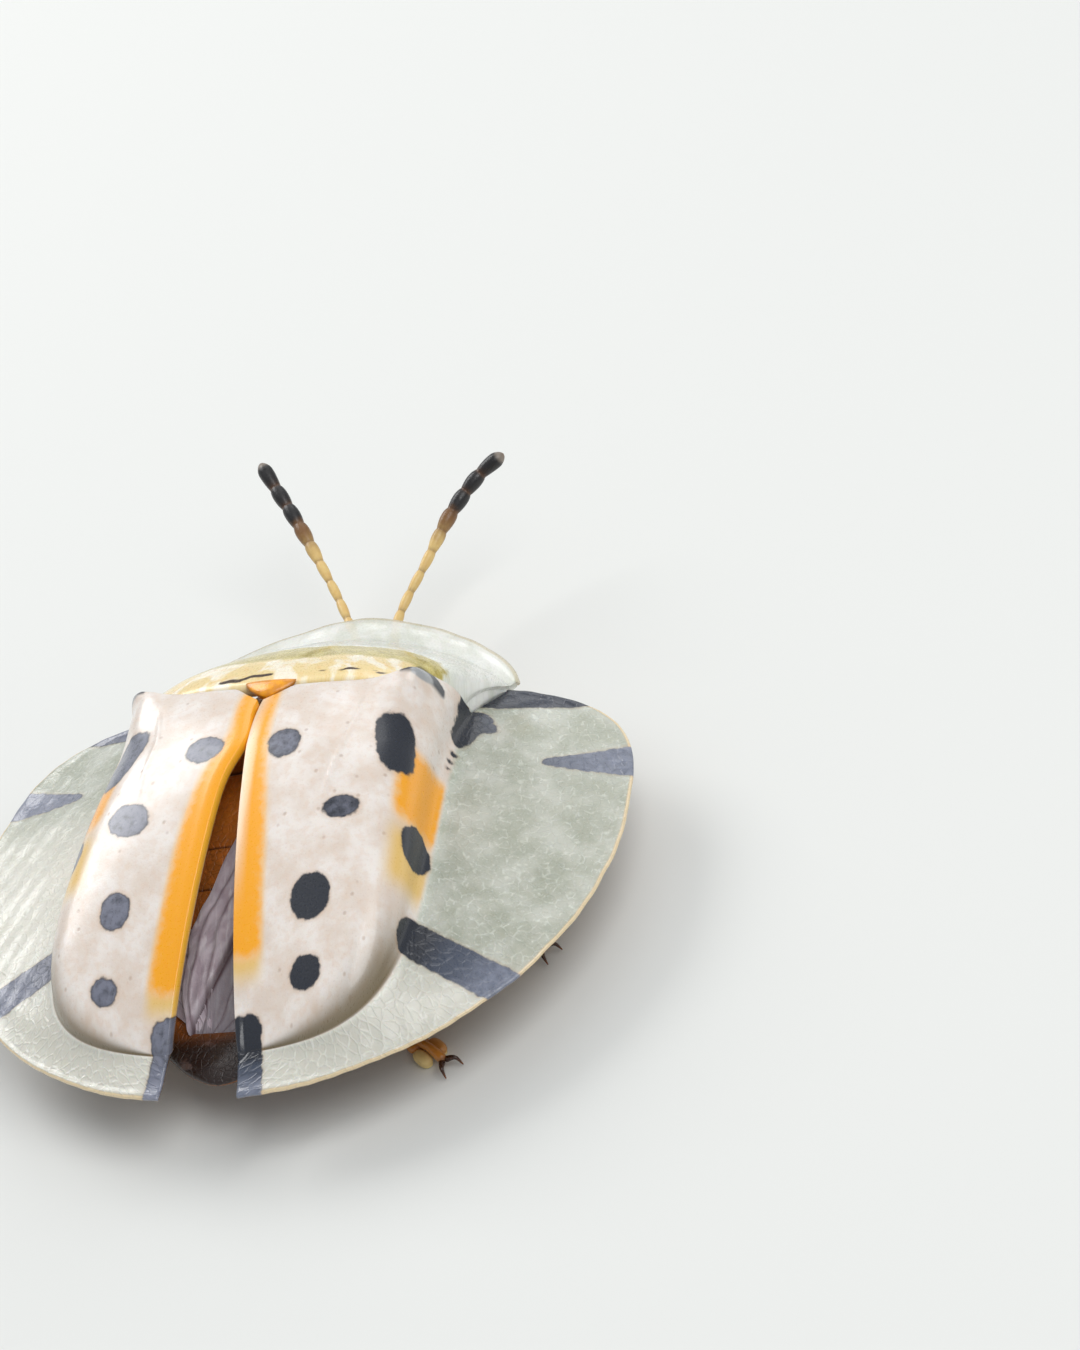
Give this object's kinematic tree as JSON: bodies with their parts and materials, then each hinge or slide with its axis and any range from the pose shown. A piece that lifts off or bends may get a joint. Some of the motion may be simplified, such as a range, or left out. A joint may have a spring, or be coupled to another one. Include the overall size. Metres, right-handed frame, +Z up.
{
  "type": "tortoise beetle",
  "caption": "Life-size spotted tortoise beetle standing on its feet, with a domed spotted shell, a wide clear brim and its wing covers a little open.",
  "frame": {"origin": "on the floor, under the centre of the beetle's bounding box", "axes": "+Y towards the head, +X to the beetle's right, +Z up from the floor"},
  "size_m": [0.014, 0.0174, 0.0045],
  "materials": {
    "elytra": "glossy cream shell with slate-black spots, orange seams and a clear brim",
    "pronotum": "glossy pale yellow plate with a clear edge",
    "scutellum": "satin orange",
    "wing_membrane": "thin smoky membrane with darker veins",
    "body_cuticle": "satin orange-brown, darker towards the tail",
    "leg_cuticle": "satin orange-brown with pale pads and dark claws",
    "antenna": "satin pale yellow with black outer joints",
    "eye": "glossy black"
  },
  "bodies": {
    "root": {"head": "body_cuticle", "eye_left": "eye", "eye_right": "eye", "antenna_left": "antenna", "antenna_right": "antenna", "pronotum": "pronotum", "scutellum": "scutellum", "thorax": "body_cuticle", "abdomen": "body_cuticle", "elytron_left": "elytra", "elytron_right": "elytra", "hindwing_left": "wing_membrane", "hindwing_right": "wing_membrane", "leg_front_left": "leg_cuticle", "leg_front_right": "leg_cuticle", "leg_middle_left": "leg_cuticle", "leg_middle_right": "leg_cuticle", "leg_hind_left": "leg_cuticle", "leg_hind_right": "leg_cuticle"}
  },
  "joints": []
}
